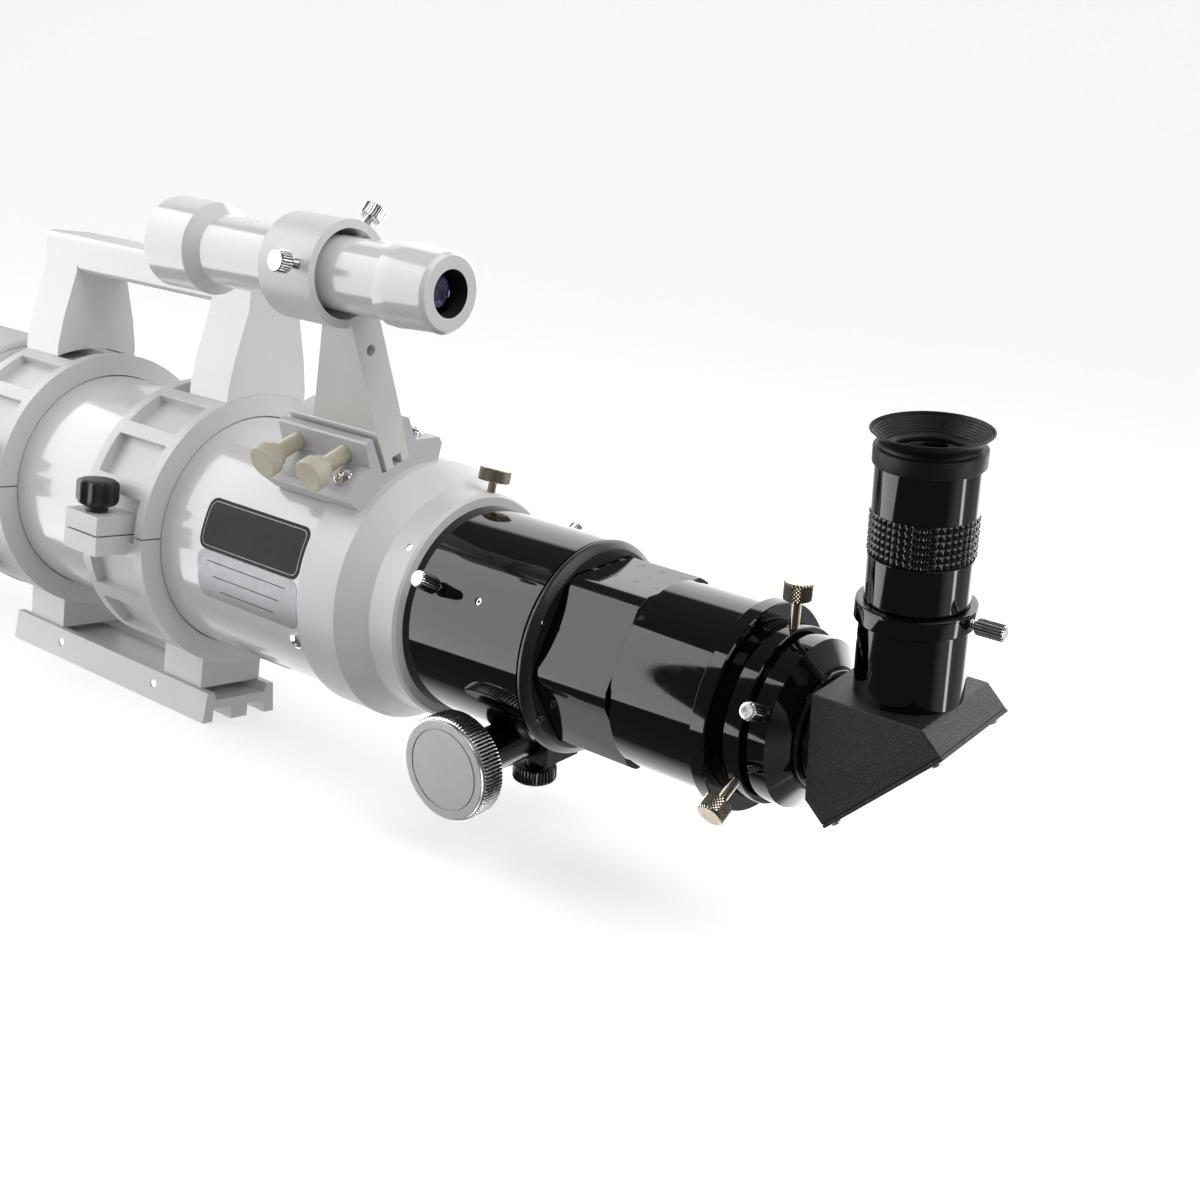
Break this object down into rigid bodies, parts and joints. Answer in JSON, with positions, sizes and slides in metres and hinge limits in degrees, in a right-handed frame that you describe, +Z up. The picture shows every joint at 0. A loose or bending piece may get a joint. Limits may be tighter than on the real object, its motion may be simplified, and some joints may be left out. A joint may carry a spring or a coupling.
{
  "type": "refractor telescope",
  "caption": "Short refractor telescope in white enamel with a rack-and-pinion focuser, star diagonal and eyepiece, finder, and a hinged cradle with carry handle on a dovetail bar.",
  "frame": {"origin": "centre of the dovetail bar's underside", "axes": "+X along the optical axis, towards the eyepiece; +Z up, out of the cradle's open side; -Y is the side with the finder and the cradle's clamp knobs"},
  "size_m": [0.696, 0.1714, 0.2548],
  "materials": {
    "white_enamel": "gloss",
    "white_cast": "satin",
    "gloss_black": "gloss",
    "satin_black": "satin",
    "textured_black": "textured",
    "silver_aluminium": "satin",
    "nickel": "polished",
    "steel": "satin",
    "cream_plastic": "matt",
    "black_plastic": "matt",
    "pad_plastic": "gloss",
    "rubber": "matt",
    "glass": "coated",
    "mirror": "polished",
    "label_film": "satin"
  },
  "bodies": {
    "cradle": {"dovetail_bar": "white_cast", "ring_base_rear": "white_cast", "ring_base_front": "white_cast", "ring_hinge_pins": "steel", "base_bolts": "steel"},
    "upper_cradle": {"ring_cap_rear": "white_cast", "ring_cap_front": "white_cast", "carry_handle": "white_enamel"},
    "clamp_knob_rear": {"clamp_knob_rear": "black_plastic"},
    "clamp_knob_front": {"clamp_knob_front": "black_plastic"},
    "tube": {"main_tube": "white_enamel", "rear_cell": "white_enamel", "tube_screws": "steel", "tube_label": "label_film", "finder_shoe": "white_cast", "objective_cell": "white_enamel", "crown_lens": "glass", "flint_lens": "glass", "lens_retainer": "satin_black", "tube_baffles": "satin_black"},
    "dew_shield": {"dew_shield": "white_enamel"},
    "cell_thumbscrew": {"cell_thumbscrew": "nickel"},
    "focuser": {"focuser_body": "gloss_black", "focuser_end_ring": "satin_black", "focuser_screws": "steel", "guide_pads": "pad_plastic", "pinion_housing": "satin_black"},
    "pinion": {"pinion_shaft": "silver_aluminium", "focus_knob_left": "silver_aluminium", "focus_knob_right": "silver_aluminium"},
    "focus_lock": {"focus_lock_knob": "satin_black"},
    "body_thumbscrew_left": {"body_thumbscrew_left": "nickel"},
    "body_thumbscrew_right": {"body_thumbscrew_right": "nickel"},
    "drawtube": {"drawtube": "satin_black", "focus_rack": "silver_aluminium", "receiver": "satin_black"},
    "receiver_thumbscrew_top": {"receiver_thumbscrew_top": "nickel"},
    "receiver_thumbscrew_left": {"receiver_thumbscrew_left": "nickel"},
    "receiver_thumbscrew_right": {"receiver_thumbscrew_right": "nickel"},
    "adapter": {"eyepiece_adapter": "satin_black"},
    "adapter_thumbscrew": {"adapter_thumbscrew": "nickel"},
    "diagonal": {"diagonal_housing": "textured_black", "mirror_cover": "textured_black", "cover_screws": "steel", "diagonal_mirror": "mirror", "diagonal_nose": "satin_black", "eyepiece_holder": "satin_black"},
    "holder_thumbscrew": {"holder_thumbscrew": "nickel"},
    "eyepiece": {"eyepiece_body": "gloss_black", "grip_band": "rubber", "eyecup": "rubber", "eyepiece_nose": "nickel", "eyepiece_lenses": "glass"},
    "finder": {"finder_bracket": "white_enamel", "finder_tube": "white_enamel", "finder_lenses": "glass"},
    "finder_screw_left": {"finder_screw_left": "nickel"},
    "finder_screw_right": {"finder_screw_right": "nickel"},
    "shoe_knob_front": {"shoe_knob_front": "cream_plastic"},
    "shoe_knob_rear": {"shoe_knob_rear": "cream_plastic"}
  },
  "joints": [
    {"name": "cradle_hinge", "type": "hinge", "parent": "cradle", "child": "upper_cradle", "pos_m": [0, 0.071, 0.094], "axis": [-1, 0, 0], "range_deg": [0, 75]},
    {"name": "clamp_knob_rear_turn", "type": "hinge", "parent": "upper_cradle", "child": "clamp_knob_rear", "pos_m": [0.057, -0.074, 0.094], "axis": [0, 0, 1], "range_deg": [0, 720]},
    {"name": "clamp_knob_front_turn", "type": "hinge", "parent": "upper_cradle", "child": "clamp_knob_front", "pos_m": [-0.057, -0.074, 0.094], "axis": [0, 0, 1], "range_deg": [0, 720]},
    {"name": "tube_slide", "type": "slide", "parent": "cradle", "child": "tube", "axis": [1, 0, 0], "range_m": [-0.025, 0.02]},
    {"name": "dew_shield_slide", "type": "slide", "parent": "tube", "child": "dew_shield", "axis": [-1, 0, 0], "range_m": [0, 0.028]},
    {"name": "focuser_rotation", "type": "hinge", "parent": "tube", "child": "focuser", "pos_m": [0.22, 0, 0.094], "axis": [1, 0, 0], "continuous": true},
    {"name": "cell_thumbscrew_turn", "type": "hinge", "parent": "tube", "child": "cell_thumbscrew", "pos_m": [0.219, 0, 0.094], "axis": [0, 0.1288, 0.9917], "range_deg": [0, 720]},
    {"name": "drawtube_slide", "type": "slide", "parent": "focuser", "child": "drawtube", "axis": [1, 0, 0], "range_m": [-0.034, 0.04]},
    {"name": "pinion_turn", "type": "hinge", "parent": "focuser", "child": "pinion", "pos_m": [0.2605, 0.00628, 0.04934], "axis": [0, 0.9903, 0.1392], "range_deg": [-310, 360]},
    {"name": "focus_lock_turn", "type": "hinge", "parent": "focuser", "child": "focus_lock", "pos_m": [0.2605, 0, 0.094], "axis": [0, 0.1392, -0.9903], "range_deg": [0, 360]},
    {"name": "body_thumbscrew_left_turn", "type": "hinge", "parent": "focuser", "child": "body_thumbscrew_left", "pos_m": [0.2378, 0, 0.094], "axis": [0, -0.9298, 0.3681], "range_deg": [0, 720]},
    {"name": "body_thumbscrew_right_turn", "type": "hinge", "parent": "focuser", "child": "body_thumbscrew_right", "pos_m": [0.2378, 0, 0.094], "axis": [0, 0.7923, 0.6101], "range_deg": [0, 720]},
    {"name": "receiver_thumbscrew_top_turn", "type": "hinge", "parent": "drawtube", "child": "receiver_thumbscrew_top", "pos_m": [0.38, 0, 0.094], "axis": [0, -0.1392, 0.9903], "range_deg": [0, 720]},
    {"name": "receiver_thumbscrew_left_turn", "type": "hinge", "parent": "drawtube", "child": "receiver_thumbscrew_left", "pos_m": [0.38, 0, 0.094], "axis": [0, -0.788, -0.6157], "range_deg": [0, 720]},
    {"name": "receiver_thumbscrew_right_turn", "type": "hinge", "parent": "drawtube", "child": "receiver_thumbscrew_right", "pos_m": [0.38, 0, 0.094], "axis": [0, 0.9272, -0.3746], "range_deg": [0, 720]},
    {"name": "adapter_slide", "type": "slide", "parent": "drawtube", "child": "adapter", "axis": [1, 0, 0], "range_m": [0, 0.017]},
    {"name": "adapter_thumbscrew_turn", "type": "hinge", "parent": "adapter", "child": "adapter_thumbscrew", "pos_m": [0.3888, 0, 0.094], "axis": [0, -0.9703, 0.2419], "range_deg": [0, 720]},
    {"name": "diagonal_rotation", "type": "hinge", "parent": "adapter", "child": "diagonal", "pos_m": [0.39, 0, 0.094], "axis": [1, 0, 0], "continuous": true},
    {"name": "holder_thumbscrew_turn", "type": "hinge", "parent": "diagonal", "child": "holder_thumbscrew", "pos_m": [0.429, -0.01212, 0.14867], "axis": [1, 0, 0], "range_deg": [0, 720]},
    {"name": "eyepiece_slide", "type": "slide", "parent": "diagonal", "child": "eyepiece", "axis": [0, -0.2164, 0.9763], "range_m": [0, 0.026]},
    {"name": "finder_slide", "type": "slide", "parent": "tube", "child": "finder", "axis": [1, 0, 0], "range_m": [0, 0.05]},
    {"name": "finder_screw_left_turn", "type": "hinge", "parent": "finder", "child": "finder_screw_left", "pos_m": [0.184, -0.0617, 0.22632], "axis": [0, -0.9962, 0.0872], "range_deg": [0, 720]},
    {"name": "finder_screw_right_turn", "type": "hinge", "parent": "finder", "child": "finder_screw_right", "pos_m": [0.184, -0.0617, 0.22632], "axis": [0, 0.5736, 0.8192], "range_deg": [0, 720]},
    {"name": "shoe_knob_front_turn", "type": "hinge", "parent": "tube", "child": "shoe_knob_front", "pos_m": [0.1502, -0.03001, 0.15835], "axis": [0, -0.9063, -0.4226], "range_deg": [0, 720]},
    {"name": "shoe_knob_rear_turn", "type": "hinge", "parent": "tube", "child": "shoe_knob_rear", "pos_m": [0.1788, -0.03001, 0.15835], "axis": [0, -0.9063, -0.4226], "range_deg": [0, 720]}
  ],
  "couplings": [
    {"joint": "pinion_turn", "follows": "drawtube_slide", "rad_per_m": 153.85}
  ]
}
